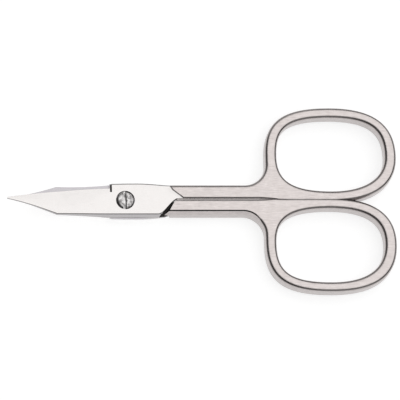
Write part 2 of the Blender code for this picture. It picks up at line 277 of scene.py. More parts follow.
def ease(share: float) -> float:
    """Runs smoothly from 0 to 1."""
    share = limited(share)
    return share * share * (3 - 2 * share)


def ease_slope(share: float) -> float:
    """Returns how steeply ease runs at a share."""
    return 6 * share * (1 - share)


def steps_between(start: float, end: float, count: int) -> list[float]:
    """Returns evenly spaced places from start, without the end."""
    return [start + (end - start) * step / count for step in range(count)]


# The pivot and the overall sizes


@dataclass(frozen=True)
class Pivot:
    """Where the pivot is in the row frame, how far both ends are from it, and what all pieces share."""

    x: float
    half: float
    tip_reach: float
    ring_reach: float
    lap: float = 0.03 * MM
    plate: float = 1.5 * MM

    @classmethod
    def from_frame(cls) -> "Pivot":
        """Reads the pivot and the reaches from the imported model, whose handles lie on the ground plane.

        Returns:
            The pivot, at half the handles' thickness.
        """
        x, _, z = frame["joints"][0]["pos_m"]
        low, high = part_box("rear_half")
        return cls(x=x, half=z, tip_reach=x - low.x, ring_reach=high.x - x)

    def seat(self, piece: bpy.types.Object, side: Side) -> None:
        """Moves a half or screw from the pivot's frame to the row frame.

        Args:
            piece: The object to move, modelled about the pivot.
            side: The rear side is turned over about the long axis.
        """
        piece.rotation_euler.x = math.pi if side is Side.REAR else 0
        piece.location = (self.x, 0, self.half)
        settle(piece)


# The halves and the screw


@dataclass(frozen=True)
class Handle:
    """Shank and finger ring: flat faces whose edges round over into upright sides."""

    pivot: Pivot
    edge_radius: float = 0.95 * MM
    flat_edge: float = 0.52 * MM
    shank_inner: float = 0.35 * MM
    shank_width: float = 2.2 * MM
    shank_fillet: float = 5.8 * MM
    gap_half_width: float = 0.4 * MM
    shank_inset: float = NOTHING
    ring_shift: float = NOTHING
    shank_trim: float = 0.15 * MM
    shank_edge: float = 0.5 * MM
    shank_edge_turn: float = math.radians(57)
    gap_edge_radius: float = 0.3 * MM
    start: float = 7.0 * MM
    relief_run_out: float = 8.5 * MM
    contact_length: float = 9.0 * MM
    hole_length: float = 25.01 * MM
    hole_width: float = 17.35 * MM
    rim_outer: float = 0.43 * MM
    rim_end: float = 0.94 * MM
    rim_shank: float = 0.49 * MM
    rim_contact: float = 0.62 * MM
    middle_share: float = 0.48
    round_share: float = 0.5523
    outer_shank_shares: tuple[float, float] = (0.72, 0.76)
    outer_end_shares: tuple[float, float] = (0.66, 0.69)
    rim_end_shares: tuple[float, float] = (0.665, 0.70)
    contact_end_shares: tuple[float, float] = (0.60, 0.64)
    contact_shank_shares: tuple[float, float] = (0.69, 0.73)
    ring_contact_share: float = 0.70
    # Painted shade: the slope of the edge cutter's faces that take the near-black line.
    shade_line_low: float = 0.56
    shade_line_high: float = 0.97
    run_out: float = 0.1 * MM
    gap_stations: int = 12
    bulge_steps: int = 4
    fillet_stations: int = 12
    arc_steps: int = 24
    side_steps: int = 7

    @property
    def shank_outer(self) -> float:
        """Distance from the middle plane to the outer edge of the shank's flat."""
        return self.shank_inner + self.shank_width

    @property
    def end(self) -> float:
        """Far end of the ring's flat."""
        return self.pivot.ring_reach + self.ring_shift - self.edge_radius

    @property
    def hole_end(self) -> float:
        """Far end of the finger hole in the flat."""
        return self.end - self.rim_end

    @property
    def hole_start(self) -> float:
        """Near end of the finger hole in the flat."""
        return self.hole_end - self.hole_length - 2 * self.edge_radius

    @property
    def ring_start(self) -> float:
        """Near end of the ring's flat."""
        return self.hole_start - self.rim_shank

    @property
    def fillet_start(self) -> float:
        """Place where the shank's outer side starts to turn up into the ring."""
        return self.ring_start - self.shank_fillet

    @property
    def hole_low(self) -> float:
        """Edge of the finger hole beside the closed contact."""
        return self.flat_edge + self.rim_contact

    @property
    def hole_high(self) -> float:
        """Outer edge of the finger hole."""
        return self.hole_low + self.hole_width + 2 * self.edge_radius

    @property
    def centre(self) -> float:
        """Middle of the finger hole along the scissors."""
        return (self.hole_start + self.hole_end) / 2

    @property
    def contact_start(self) -> float:
        """Place from which the closed rings touch."""
        return self.centre - self.contact_length

    @property
    def middle(self) -> float:
        """Height at which the finger hole is longest."""
        return self.hole_low + self.middle_share * (self.hole_high - self.hole_low)

    def oval(self, low: float, high: float, start: float, end: float, quarters: Pairs) -> list[Knot]:
        """Lays out a ring outline in four knots, clockwise from its shank side.

        Args:
            low: Lowest edge.
            high: Highest edge.
            start: Nearest edge.
            end: Farthest edge.
            quarters: Upright and level handle shares of the four quarters.

        Returns:
            The knots, each with its arriving and leaving handle.
        """
        outer_shank, outer_end, contact_end, contact_shank = quarters
        over, under = high - self.middle, self.middle - low
        back, ahead = self.centre - start, end - self.centre
        return [
            ((start, self.middle), (0, -contact_shank[0] * under), (0, outer_shank[0] * over)),
            ((self.centre, high), (-outer_shank[1] * back, 0), (outer_end[1] * ahead, 0)),
            ((end, self.middle), (0, outer_end[0] * over), (0, -contact_end[0] * under)),
            ((self.centre, low), (contact_end[1] * ahead, 0), (-contact_shank[1] * back, 0)),
        ]

    def rim_share(self, share: float, half_hole: float, rim: float) -> float:
        """Eases a hole's handle share towards a round arc, for the rim's outer edge."""
        return (share * half_hole + self.round_share * rim) / (half_hole + rim)

    def hole_knots(self) -> list[Knot]:
        """Lays out the finger hole.

        Returns:
            The knots around it.
        """
        quarters = (
            self.outer_shank_shares,
            self.outer_end_shares,
            self.contact_end_shares,
            self.contact_shank_shares,
        )
        return self.oval(self.hole_low, self.hole_high, self.hole_start, self.hole_end, quarters)

    def rim_knots(self) -> list[Knot]:
        """Lays out the flat: shank, fillet, ring, closed contact and relief.

        Returns:
            The knots around it.
        """
        tall = self.hole_high - self.middle
        long = self.centre - self.hole_start
        quarters = (
            (
                self.rim_share(self.outer_shank_shares[0], tall, self.rim_outer),
                self.rim_share(self.outer_shank_shares[1], long, self.rim_shank),
            ),
            self.rim_end_shares,
            (
                self.rim_share(self.contact_end_shares[0], tall, self.rim_contact),
                self.ring_contact_share,
            ),
            self.contact_shank_shares,
        )
        side, top, end, bottom = self.oval(
            self.flat_edge,
            self.hole_high + self.rim_outer,
            self.ring_start,
            self.end,
            quarters,
        )
        arm = self.round_share * self.shank_fillet
        run = self.relief_run_out / 2
        return [
            ((self.start, self.shank_outer), None, None),
            ((self.fillet_start, self.shank_outer), None, (arm, 0)),
            ((self.ring_start, self.shank_outer + self.shank_fillet), (0, -arm), None),
            (side[0], None, side[2]),
            top,
            end,
            (bottom[0], bottom[1], None),
            ((self.contact_start, self.flat_edge), None, (-run, 0)),
            ((self.contact_start - self.relief_run_out, self.shank_inner), (run, 0), None),
            ((self.start, self.shank_inner), None, None),
        ]

    def draw(self, spline: bpy.types.Spline, knots: Sequence[Knot]) -> None:
        """Lays a closed Bezier spline on knots, adding the points that it lacks.

        Args:
            spline: The spline.
            knots: Its knots in order.
        """
        spline.bezier_points.add(len(knots) - len(spline.bezier_points))
        spline.use_cyclic_u = True
        for point, (spot, arriving, leaving) in zip(spline.bezier_points, knots):
            point.handle_left_type = "FREE" if arriving else "VECTOR"
            point.handle_right_type = "FREE" if leaving else "VECTOR"
            point.co = (*spot, 0)
            if arriving:
                point.handle_left = (spot[0] + arriving[0], spot[1] + arriving[1], 0)
            if leaving:
                point.handle_right = (spot[0] + leaving[0], spot[1] + leaving[1], 0)

    def gap_cutter(self) -> bpy.types.Object:
        """Models the cutter that opens the gap between the shanks and rounds its edges.

        Returns:
            The cutter, which runs out where the rings meet.
        """
        relief_end = self.contact_start - self.relief_run_out
        places = [self.start - OVERRUN]
        places += steps_between(relief_end, self.contact_start, self.gap_stations)
        places.append(self.contact_start)
        half = self.pivot.half
        sections = []
        for x in places:
            left = 1 - ease((x - relief_end) / self.relief_run_out)
            wall = self.pivot.lap + (self.gap_half_width - self.pivot.lap) * left - WELD
            round_off = self.gap_edge_radius * left + WELD
            arc = [math.pi / 2 * step / self.side_steps for step in range(self.side_steps + 1)]
            rise = [
                (wall + round_off * (1 - math.cos(turn)), half - round_off * (1 - math.sin(turn)))
                for turn in arc
            ]
            edge = [*rise, (wall + round_off, half + OVERRUN)]
            section = [(y, -z) for y, z in reversed(edge)] + edge
            section = [(-OVERRUN, -half - OVERRUN), *section, (-OVERRUN, half + OVERRUN)]
            sections.append([Vector((x, y, z)) for y, z in section])
        return loft("shank_gap", sections)

    def bulge(self, inset: float, shift: float) -> list[tuple[float, float]]:
        """Lays out the bulging side's profile, from the flat's edge down to the middle plane.

        Args:
            inset: How much narrower the flat becomes.
            shift: How far the whole profile is moved outwards.

        Returns:
            Places as the distance outwards from the old flat's edge, and the height.
        """
        half = self.pivot.half
        turns = [self.shank_edge_turn * step / self.side_steps for step in range(self.side_steps + 1)]
        profile = [
            (self.shank_edge * math.sin(turn) - inset, half - self.shank_edge * (1 - math.cos(turn)))
            for turn in turns
        ]
        near, high = profile[-1]
        far = self.edge_radius + WELD
        knee = high - (far - near) * math.tan(self.shank_edge_turn)
        for share in [step / self.bulge_steps for step in range(1, self.bulge_steps + 1)]:
            out = far - (far - near) * (1 - share) ** 2
            profile.append((out, (1 - share) ** 2 * high + 2 * share * (1 - share) * knee))
        return [(out + shift, z) for out, z in profile]

    def edge_cutter(self, steel: bpy.types.Material, shade_line: bpy.types.Material) -> bpy.types.Object:
        """Models the cutter that gives the shank's outer side a bulge below a narrower flat.

        Args:
            steel: The side's finish.
            shade_line: Painted shade for the dark line beside the flat: a near-black material.

        Returns:
            The cutter, which runs out along the fillet.
        """
        straight = steps_between(self.start - OVERRUN, self.fillet_start, self.fillet_stations)
        places = [(Vector((x, self.shank_outer, 0)), 0.0) for x in straight]
        centre = Vector((self.fillet_start, self.shank_outer + self.shank_fillet, 0))
        for turn in [*steps_between(0, math.pi / 2, self.fillet_stations), math.pi / 2]:
            arm = Vector((math.sin(turn), -math.cos(turn), 0))
            places.append((centre + self.shank_fillet * arm, turn))
        beyond = self.pivot.half + OVERRUN
        far = self.edge_radius + OVERRUN
        sections = []
        for spot, turn in places:
            outward = Vector((-math.sin(turn), math.cos(turn), 0))
            left = 1 - ease(turn / (math.pi / 2))
            gone = self.edge_radius - self.shank_edge
            inset = self.shank_inset * left - gone * (1 - left)
            rise = self.bulge(inset, self.run_out * (1 - left) - self.shank_trim * left)
            section = [(rise[0][0], beyond), *rise, (rise[-1][0], -beyond), (far, -beyond), (far, beyond)]
            sections.append([spot + outward * out - Vector((0, 0, z)) for out, z in section])
        cutter = dress(dress(loft("shank_edge", sections), steel), shade_line)
        # Painted shade: the rounded edge's faces beside the flat take the near-black material, a dark line
        # where the edge lies in shade.
        for face in cutter.data.polygons:
            if self.shade_line_low < abs(face.normal.z) < self.shade_line_high:
                face.material_index = 1
        return cutter

    def build(self, name: str, steel: bpy.types.Material, shade_line: bpy.types.Material) -> bpy.types.Object:
        """Models the handle: two outlines, filled and bevelled, and cut flat where the halves meet.

        Args:
            name: The new object's name.
            steel: The handle's finish.
            shade_line: Painted shade for the dark line beside the shank's flat: a near-black material.

        Returns:
            The closed handle, as a mesh.
        """
        bpy.ops.curve.primitive_bezier_circle_add(radius=MM)
        handle = named(name)
        curve = handle.data
        curve.dimensions = "2D"
        curve.fill_mode = "BOTH"
        curve.resolution_u = self.arc_steps
        curve.bevel_depth = self.edge_radius
        curve.bevel_resolution = self.side_steps
        curve.extrude = self.pivot.half - self.edge_radius
        self.draw(curve.splines[0], self.hole_knots())
        self.draw(curve.splines.new("BEZIER"), self.rim_knots())
        select_only(handle)
        bpy.ops.object.convert(target="MESH")
        settle(handle)
        close_up(handle)
        with editing(handle):
            bpy.ops.mesh.select_all(action="SELECT")
            bpy.ops.mesh.bisect(
                plane_co=(0, self.pivot.lap, 0),
                plane_no=(0, 1, 0),
                use_fill=True,
                clear_inner=True,
                threshold=WELD,
            )
        close_up(handle)
        dress(handle, steel)
        shape(handle, dress(self.gap_cutter(), steel), Cut.AWAY)
        if self.shank_inset:
            shape(handle, self.edge_cutter(steel, shade_line), Cut.AWAY)
        return handle


@dataclass(frozen=True)
class Blade:
    """Joint plate and blade, lofted through sections from the shank to the point."""

    pivot: Pivot
    plate_back: float = 2.97 * MM
    plate_front: float = 3.55 * MM
    plate_crown: float = 0.1 * MM
    plate_shank_edge: float = 3.12 * MM
    plate_flare: float = 0.58 * MM
    plate_back_flare: float = 0.9 * MM
    edge_round: float = 0.45 * MM
    round_limit_share: float = 0.9
    crown_place: float = 3.0 * MM
    crown_end: float = 11.0 * MM
    sink_start: float = 11.3 * MM
    sink_depth: float = 0.5 * MM
    plate_end: float = 13.6 * MM
    corner_start: float = 7.5 * MM
    corner_end: float = 12.25 * MM
    corner_depth: float = 0.5 * MM
    corner_bury: float = 0.4 * MM
    flare_loss_share: float = 0.92
    flare_loss_power: float = 3.0
    shank_flare_loss_share: float = 0.3
    heel: float = 3.5 * MM
    knee: float = 15.8 * MM
    bend_radius: float = 80.0 * MM
    edge_sweep_power: float = 1.5
    point_sweep_power: float = 1.3
    blade_edge: float = 3.5 * MM
    knee_flare: float = 0.22 * MM
    tip_flare_share: float = 0.45
    edge_bevel: float = 0.04 * MM
    heel_edge_thickness: float = 1.25 * MM
    edge_thickness: float = 0.14 * MM
    edge_run: float = 11.0 * MM
    facet_power: float = 1.4
    knee_thickness: float = 0.9 * MM
    tip_thickness: float = 0.4 * MM
    facet_slope: float = 0.2
    tip_half_width: float = 0.1 * MM
    grind_start: float = 1.6 * MM
    grind_run: float = 6.5 * MM
    grind_spread_share: float = 0.92
    hollow_depth: float = 0.1 * MM
    hollow_run: float = 3.0 * MM
    ride_start: float = 1.5 * MM
    face_steps: int = 6
    side_steps: int = 5
    bury_stations: int = 2
    plate_stations: int = 14
    corner_stations: int = 16
    blade_stations: int = 26
    point_stations: int = 22

    def corner_share(self, x: float) -> float:
        """Returns how far along its turn the plate's back edge is, from 0 to 1."""
        return limited((x - self.corner_start) / (self.corner_end - self.corner_start))

    def corner_flare(self, x: float) -> float:
        """Returns how far the plate's back stands out at the meeting plane."""
        lost = 1 - (1 - self.corner_share(x)) ** self.flare_loss_power
        return self.plate_back_flare * (1 - self.flare_loss_share * lost)

    def corner_back(self, x: float) -> float:
        """Returns how far the plate's back edge lies from the pivot line."""
        return self.plate_back - (self.plate_back + self.corner_depth) * ease(self.corner_share(x))

    def bend(self, x: float, y: float, side: Side) -> float:
        """Works out the bent meeting surface, which is turned about the pivot axis.

        Args:
            x: Place along the blade.
            y: Place across it.
            side: Which half it belongs to, for the sense of the bend.

        Returns:
            The surface's height.
        """
        reach = math.hypot(x, y)
        if x > 0 or reach < self.heel:
            return 0
        return side.value * (reach - self.heel) ** 2 / (2 * self.bend_radius)

    def ride(self, x: float, y: float, side: Side) -> float:
        """Works out the relief that lets the other, bent blade swing beneath the front plate.

        Args:
            x: Place along the plate.
            y: Place across it.
            side: Which half it belongs to; only the front one has it.

        Returns:
            How far the inner face stands back.
        """
        if side is Side.REAR or min(x, y) < 0:
            return 0
        rise = max(math.hypot(x, y) - self.heel, 0) ** 2 / (2 * self.bend_radius)
        fade = 1 - ease((x - self.corner_start) / (self.crown_end - self.corner_start))
        return rise * fade * min(y / self.ride_start, 1)

    def plate_section(self, x: float) -> dict[str, float]:
        """Works out the joint plate between the heel and the shank.

        Args:
            x: The section's place.

        Returns:
            Its widths and thicknesses.
        """
        fall = self.plate_crown * (max(self.crown_place - x, 0) / (self.crown_place + self.heel)) ** 2
        run_in = ease((x - self.crown_place) / (self.crown_end - self.crown_place))
        sunk = self.sink_depth * max(x - self.sink_start, 0) / (self.plate_end - self.sink_start)
        buried = max(x - self.corner_end, 0) / (self.plate_end - self.corner_end)
        thickness = self.pivot.plate - self.pivot.lap
        return {
            "front": self.plate_front - fall - (self.plate_front - self.plate_shank_edge) * run_in - sunk,
            "front_flare": self.plate_flare * (1 - self.shank_flare_loss_share * run_in),
            "back": self.corner_back(x) - self.corner_bury * buried,
            "back_flare": self.corner_flare(x),
            "edge": thickness,
            "spine": thickness,
            "ground": self.grind_start,
            "hollow": NOTHING,
        }

    def blade_section(self, x: float) -> dict[str, float]:
        """Works out the blade between the heel and the point.

        Args:
            x: The section's place.

        Returns:
            Its widths and thicknesses.
        """
        past_heel = -x - self.heel
        share = past_heel / (self.pivot.tip_reach - self.heel)
        left = min((self.pivot.tip_reach + x) / (self.pivot.tip_reach - self.knee), 1)
        tip = self.tip_half_width * share
        front = self.blade_edge * (1 - share**self.edge_sweep_power) + tip
        back = self.plate_back * left**self.point_sweep_power + tip
        full = self.pivot.plate - self.pivot.lap
        thin = max(1 - past_heel / self.edge_run, 0)
        knee_run = self.knee - self.heel - self.grind_run
        towards_knee = limited((past_heel - self.grind_run) / knee_run)
        spine = full + (self.knee_thickness - full) * towards_knee
        spine += (self.tip_thickness - self.knee_thickness) * (1 - left)
        wide = self.grind_spread_share * (front + back)
        edge = self.edge_thickness + (self.heel_edge_thickness - self.edge_thickness) * thin
        near_heel = max(1 - past_heel / (self.knee - self.heel), 0)
        flare = self.knee_flare + (self.plate_back_flare - self.knee_flare) * near_heel**2
        ground = self.grind_start + (wide - self.grind_start) * min(past_heel / self.grind_run, 1)
        return {
            "front": front,
            "front_flare": self.edge_bevel,
            "back": back,
            "back_flare": flare * max(left, self.tip_flare_share),
            "edge": edge,
            "spine": min(spine, edge + self.facet_slope * wide),
            "ground": min(ground, wide),
            "hollow": self.hollow_depth * min(past_heel / self.hollow_run, 1) * left,
        }

    def ring(self, x: float, side: Side, section: dict[str, float]) -> list[Vector]:
        """Lays out a section: inner face, cutting side, outer face and back.

        Args:
            x: The section's place along the blade.
            side: Which half it belongs to, for the sense of the bend.
            section: Widths and thicknesses there.

        Returns:
            The corners in order.
        """
        front, back = section["front"], section["back"]
        inner_front = front + section["front_flare"]
        inner_back = back + section["back_flare"]
        edge, spine, ground = section["edge"], section["spine"], section["ground"]
        flat = 2 * self.face_steps
        points = []
        for share in steps_between(0, 1, flat):
            y = -inner_back + (inner_front + inner_back) * share
            hollow = section["hollow"] * 4 * share * (1 - share)
            points.append((y, hollow + self.ride(x, y, side)))
        points.append((inner_front, self.ride(x, inner_front, side)))
        round_off = min(self.edge_round, self.round_limit_share * section["front_flare"])
        for turn in steps_between(0, math.pi / 2, self.side_steps):
            points.append((front + round_off * math.cos(turn), edge - round_off * (1 - math.sin(turn))))
        for share in steps_between(0, 1, self.face_steps):
            rise = 1 - (1 - share) ** self.facet_power
            points.append((front - ground * share, edge + (spine - edge) * rise))
        points.append((front - ground, spine))
        round_off = min(self.edge_round, self.round_limit_share * section["back_flare"])
        for turn in steps_between(0, math.pi / 2, self.side_steps):
            points.append((-back - round_off * math.sin(turn), spine - round_off * (1 - math.cos(turn))))
        points.append((-back - round_off, spine - round_off))
        return [Vector((x, y, self.pivot.lap + z + self.bend(x, y, side))) for y, z in points]

    def build(self, name: str, side: Side) -> bpy.types.Object:
        """Models the joint plate and the blade.

        Args:
            name: The new object's name.
            side: Which half it belongs to.

        Returns:
            The closed loft, as a mesh.
        """
        plate = steps_between(self.plate_end, self.corner_end, self.bury_stations)
        plate += steps_between(self.corner_end, self.corner_start, self.corner_stations)
        plate += steps_between(self.corner_start, -self.heel + WELD, self.plate_stations)
        plate.append(-self.heel + WELD)
        blade = steps_between(-self.heel - WELD, -self.knee, self.blade_stations)
        blade += steps_between(-self.knee, -self.pivot.tip_reach, self.point_stations)
        blade.append(-self.pivot.tip_reach)
        sections = [self.ring(x, side, self.plate_section(x)) for x in plate]
        sections += [self.ring(x, side, self.blade_section(x)) for x in blade]
        return loft(name, sections)


@dataclass(frozen=True)
class Piece:
    """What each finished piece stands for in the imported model."""

    pivot: Pivot
    node: str
    body: str
    slot: str

    def enlist(self, piece: bpy.types.Object, side: Side) -> None:
        """Seats the finished piece and puts it on its body, in place of its node.

        Args:
            piece: The piece, modelled about the pivot.
            side: The side that it is seated on.
        """
        self.pivot.seat(piece, side)
        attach(piece, self.body)
        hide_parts(self.node)
        LOG.info("%s: %d faces", piece.name, len(piece.data.polygons))


@dataclass(frozen=True)
class Half(Piece):
    """One forged half: handle, joint plate and blade, with its shoulders, heel notch and screw seat."""

    side: Side
    handle: Handle
    blade: Blade
    shoulder_gap: float = 0.5 * MM
    shoulder_gap_start: float = 0.05 * MM
    shoulder_ramp: float = 1.1 * MM
    step_inner: float = 13.05 * MM
    step_slant: float = 1.27
    step_bend: float = 2.34 * MM
    step_outer_slant: float = 0.6
    step_run: float = 2.0 * MM
    step_run_shares: tuple[float, ...] = (0.0, 0.3, 0.6, 0.86, 0.92, 0.97, 1.0)
    step_rise_shares: tuple[float, ...] = (0.0, 0.07, 0.2, 0.33, 0.54, 0.82, 1.0)
    side_step_end: float = 10.3 * MM
    side_step_edge: float = 2.85 * MM
    bite: float = 0.1 * MM
    corner_points: int = 60
    notch_width: float = 0.44 * MM
    notch_bottom: float = 1.88 * MM
    notch_shift: float = 0.24 * MM
    notch_floor: float = 0.5 * MM
    level_limit: float = 0.9
    # Painted shade: where the blade's faces in the shoulder's gap take the near-black material.
    gap_shade_start: float = 7.8 * MM
    flank_shade_start: float = 10.9 * MM
    flank_shade_end: float = 1.5 * MM
    seat_radius: float = 2.17 * MM
    seat_floor: float = 0.7 * MM

    @classmethod
    def front(cls, pivot: Pivot) -> "Half":
        """Describes the front half, whose blade's edge is ground back a little further.

        Args:
            pivot: The scissors' pivot.

        Returns:
            The front half.
        """
        handle = Handle(
            pivot,
            ring_shift=0.22 * MM,
            rim_outer=0.57 * MM,
            rim_shank=0.86 * MM,
            rim_end=0.84 * MM,
            outer_end_shares=(0.70, 0.73),
        )
        blade = Blade(pivot, blade_edge=2.75 * MM, edge_sweep_power=1.97, knee_flare=0.42 * MM)
        return cls(pivot, "front_half", "front", "front_half_steel", Side.FRONT, handle, blade)

    @classmethod
    def rear(cls, pivot: Pivot) -> "Half":
        """Describes the rear half, whose shank is narrower on top and bulges at its outer side.

        Args:
            pivot: The scissors' pivot.

        Returns:
            The rear half.
        """
        handle = Handle(
            pivot,
            ring_shift=-0.34 * MM,
            rim_outer=0.5 * MM,
            rim_shank=0.68 * MM,
            outer_end_shares=(0.63, 0.66),
            contact_end_shares=(0.66, 0.69),
            gap_half_width=0.22 * MM,
            shank_inset=0.05 * MM,
        )
        blade = Blade(pivot, sink_start=9.0 * MM, sink_depth=1.0 * MM)
        return cls(pivot, "rear_half", "rear", "rear_half_steel", Side.REAR, handle, blade)

    @property
    def cut_top(self) -> float:
        """Distance from the middle plane that lies clear outside the shank."""
        return self.handle.shank_outer + self.handle.edge_radius + OVERRUN

    def shoulder_outline(self) -> list[tuple[float, float]]:
        """Lays out where the handle thickens, clear of the other half's plate.

        Returns:
            The corners of what is cut away.
        """
        blade = self.blade
        start = self.handle.start - OVERRUN - 2 * self.shoulder_ramp
        outline = [(start, -OVERRUN), (start, self.cut_top), (blade.corner_start, self.cut_top)]
        turn = blade.corner_end - blade.corner_start
        for step in range(self.corner_points + 1):
            share = step / self.corner_points
            x = blade.corner_start + turn * share
            fall = (blade.plate_back + blade.corner_depth) * ease_slope(share)
            along = Vector((turn, -fall)).normalized()
            gap = self.shoulder_gap_start + (self.shoulder_gap - self.shoulder_gap_start) * share
            clear = blade.corner_flare(x) + gap
            outline.append((x - along.y * clear, blade.corner_back(x) + along.x * clear))
        outline.append((outline[-1][0], -OVERRUN))
        return outline

    def shoulder_cutter(self) -> bpy.types.Object:
        """Models the cutter for the other half's plate; its wall leans back towards the outer side.

        Returns:
            The cutter.
        """
        outline = self.shoulder_outline()
        slant = self.shoulder_ramp / self.handle.shank_outer
        low, high = self.pivot.lap + self.bite, self.pivot.half + OVERRUN
        inner = [Vector((x, y, low)) for x, y in outline]
        return loft("inner_shoulder", [inner, [Vector((x + slant * y, y, -high)) for x, y in outline]])

    def step_cutter(self) -> bpy.types.Object:
        """Models the cutter that thins the handle to the plate, with a hollow ramp along a slanting line.

        Returns:
            The cutter.
        """
        plate, half, top = self.pivot.plate, self.pivot.half, self.cut_top
        start = self.handle.start - OVERRUN - self.step_run
        bend = self.step_inner - self.step_slant * self.step_bend
        outline = [
            (start, -OVERRUN),
            (start, top),
            (bend - self.step_outer_slant * (top - self.step_bend), top),
            (bend, self.step_bend),
            (self.step_inner + self.step_slant * OVERRUN, -OVERRUN),
        ]
        levels = [(plate - self.bite, -self.step_run / 2)]
        for share, rise in zip(self.step_run_shares, self.step_rise_shares):
            levels.append((plate + (half - plate) * rise, self.step_run * (share - MIDDLE_SHARE)))
        levels.append((half + OVERRUN, self.step_run / 2))
        return loft("outer_step", [[Vector((x + shift, y, z)) for x, y in outline] for z, shift in levels])

    def dress_blade(self, blade: bpy.types.Object, finishes: Finishes) -> None:
        """Polishes the blade, but for its ground inner face and the painted shade in the shoulder's gap,
        which is near-black steel.

        Args:
            blade: The plate and blade.
            finishes: The steel materials.
        """
        kinds = (Finish.POLISHED, Finish.GROUND, Finish.PAINTED_SHADE)
        for kind in kinds:
            dress(blade, finishes[kind])
        ground, shaded = kinds.index(Finish.GROUND), kinds.index(Finish.PAINTED_SHADE)
        # Painted shade: inner faces past the gap's start, and the flank inside the gap, take near-black
        # steel where they lie in shade.
        for face in blade.data.polygons:
            in_gap = face.center.x > self.flank_shade_start and face.center.y < self.flank_shade_end
            if face.normal.z < -self.level_limit:
                face.material_index = shaded if face.center.x > self.gap_shade_start else ground
            elif in_gap and face.normal.z < self.level_limit:
                face.material_index = shaded

    def build(self, finishes: Finishes) -> bpy.types.Object:
        """Models the half about the pivot; each solid brings its own finish, or the near-black painted
        shade, to the faces that it leaves.

        Args:
            finishes: The steel materials.

        Returns:
            The closed half, as a mesh.
        """
        polished, painted_shade = finishes[Finish.POLISHED], finishes[Finish.PAINTED_SHADE]
        plate = self.pivot.plate
        half = self.handle.build(f"{self.node}_forging", finishes[Finish.BRUSHED], painted_shade)
        # Painted shade: the shoulder's cut faces are near-black, for the shade in the gap beside the other
        # half's plate.
        shape(half, dress(self.shoulder_cutter(), painted_shade), Cut.AWAY)
        shape(half, dress(self.step_cutter(), polished), Cut.AWAY)
        side_step = block(
            "side_step",
            Vector((NOTHING, self.side_step_edge, self.pivot.lap)),
            Vector((self.side_step_end, self.blade.blade_edge + 2 * OVERRUN, plate + OVERRUN)),
        )
        shape(half, dress(side_step, polished), Cut.AWAY)
        blade = self.blade.build(f"{half.name}_blade", self.side)
        self.dress_blade(blade, finishes)
        shape(half, blade, Cut.JOIN)
        middle = self.notch_shift - self.blade.heel
        notch = block(
            "heel_notch",
            Vector((middle - self.notch_width / 2, self.notch_bottom, self.notch_floor)),
            Vector((middle + self.notch_width / 2, self.blade.plate_front + OVERRUN, plate + OVERRUN)),
        )
        # Painted shade: the heel notch's faces are near-black, for the shade inside it.
        shape(half, dress(notch, painted_shade), Cut.AWAY)
        if self.side is Side.FRONT:
            profile = [(self.seat_radius, self.seat_floor), (self.seat_radius, plate + OVERRUN)]
            shape(half, dress(turned("screw_seat", profile), finishes[Finish.GROUND]), Cut.AWAY)
        return half

    def make(self, finishes: Finishes) -> None:
        """Models, smooths and seats the half.

        Args:
            finishes: The steel materials.
        """
        piece = self.build(finishes)
        smooth(piece)
        weighted = piece.modifiers.new("weighted_normals", "WEIGHTED_NORMAL")
        weighted.keep_sharp = True
        bpy.ops.object.modifier_apply(modifier=weighted.name)
        self.enlist(piece, self.side)


@dataclass(frozen=True)
class Screw(Piece):
    """The slotted pivot screw, which rides with the rear half."""

    head_radius: float = 2.08 * MM
    head_proud: float = 0.05 * MM
    head_dome: float = 0.44 * MM
    head_thickness: float = 0.8 * MM
    head_edge: float = 0.12 * MM
    neck_radius: float = 1.3 * MM
    slot_left: float = -0.52 * MM
    slot_right: float = 0.24 * MM
    slot_depth: float = 0.35 * MM
    # Painted shade: size of the near-black groove in the slot's corner.
    slot_shade_width: float = 0.2 * MM
    slot_shade_depth: float = 0.1 * MM
    crown_shares: tuple[float, ...] = (0.9, 0.7, 0.45, 0.2, 0.05)
    edge_share: float = 1 / 3

    def build(self, finishes: Finishes) -> bpy.types.Object:
        """Models the screw about the pivot.

        Args:
            finishes: The steel materials.

        Returns:
            The screw, as a mesh.
        """
        top = self.pivot.plate + self.head_proud
        under = top - self.head_thickness
        foot = -self.pivot.plate
        edge = self.head_edge * self.edge_share
        profile = [
            (self.neck_radius - self.head_edge, foot),
            (self.neck_radius, foot + self.head_edge),
            (self.neck_radius, under),
            (self.head_radius, under),
            (self.head_radius, top - self.head_edge),
            (self.head_radius - edge, top - edge),
        ]
        for share in self.crown_shares:
            profile.append((self.head_radius * share, top + self.head_dome * (1 - share**2)))
        screw = dress(turned("slotted_screw", profile), finishes[Finish.SCREW])
        reach = self.head_radius + OVERRUN
        floor = top - self.slot_depth
        slot = block(
            "screw_slot",
            Vector((self.slot_left, -reach, floor)),
            Vector((self.slot_right, reach, top + OVERRUN)),
        )
        shape(screw, dress(slot, finishes[Finish.SCREW]), Cut.AWAY)
        # Painted shade: a narrow groove by the slot's right wall takes near-black steel, for the shade in
        # the slot's corner.
        slot_shade = block(
            "slot_corner",
            Vector((self.slot_right - self.slot_shade_width, -reach, floor - self.slot_shade_depth)),
            Vector((self.slot_right + WELD, reach, top + OVERRUN)),
        )
        shape(screw, dress(slot_shade, finishes[Finish.PAINTED_SHADE]), Cut.AWAY)
        return screw

    def make(self, finishes: Finishes) -> None:
        """Models, smooths and seats the screw.

        Args:
            finishes: The steel materials.
        """
        piece = self.build(finishes)
        smooth(piece)
        self.enlist(piece, Side.FRONT)


# Finishes


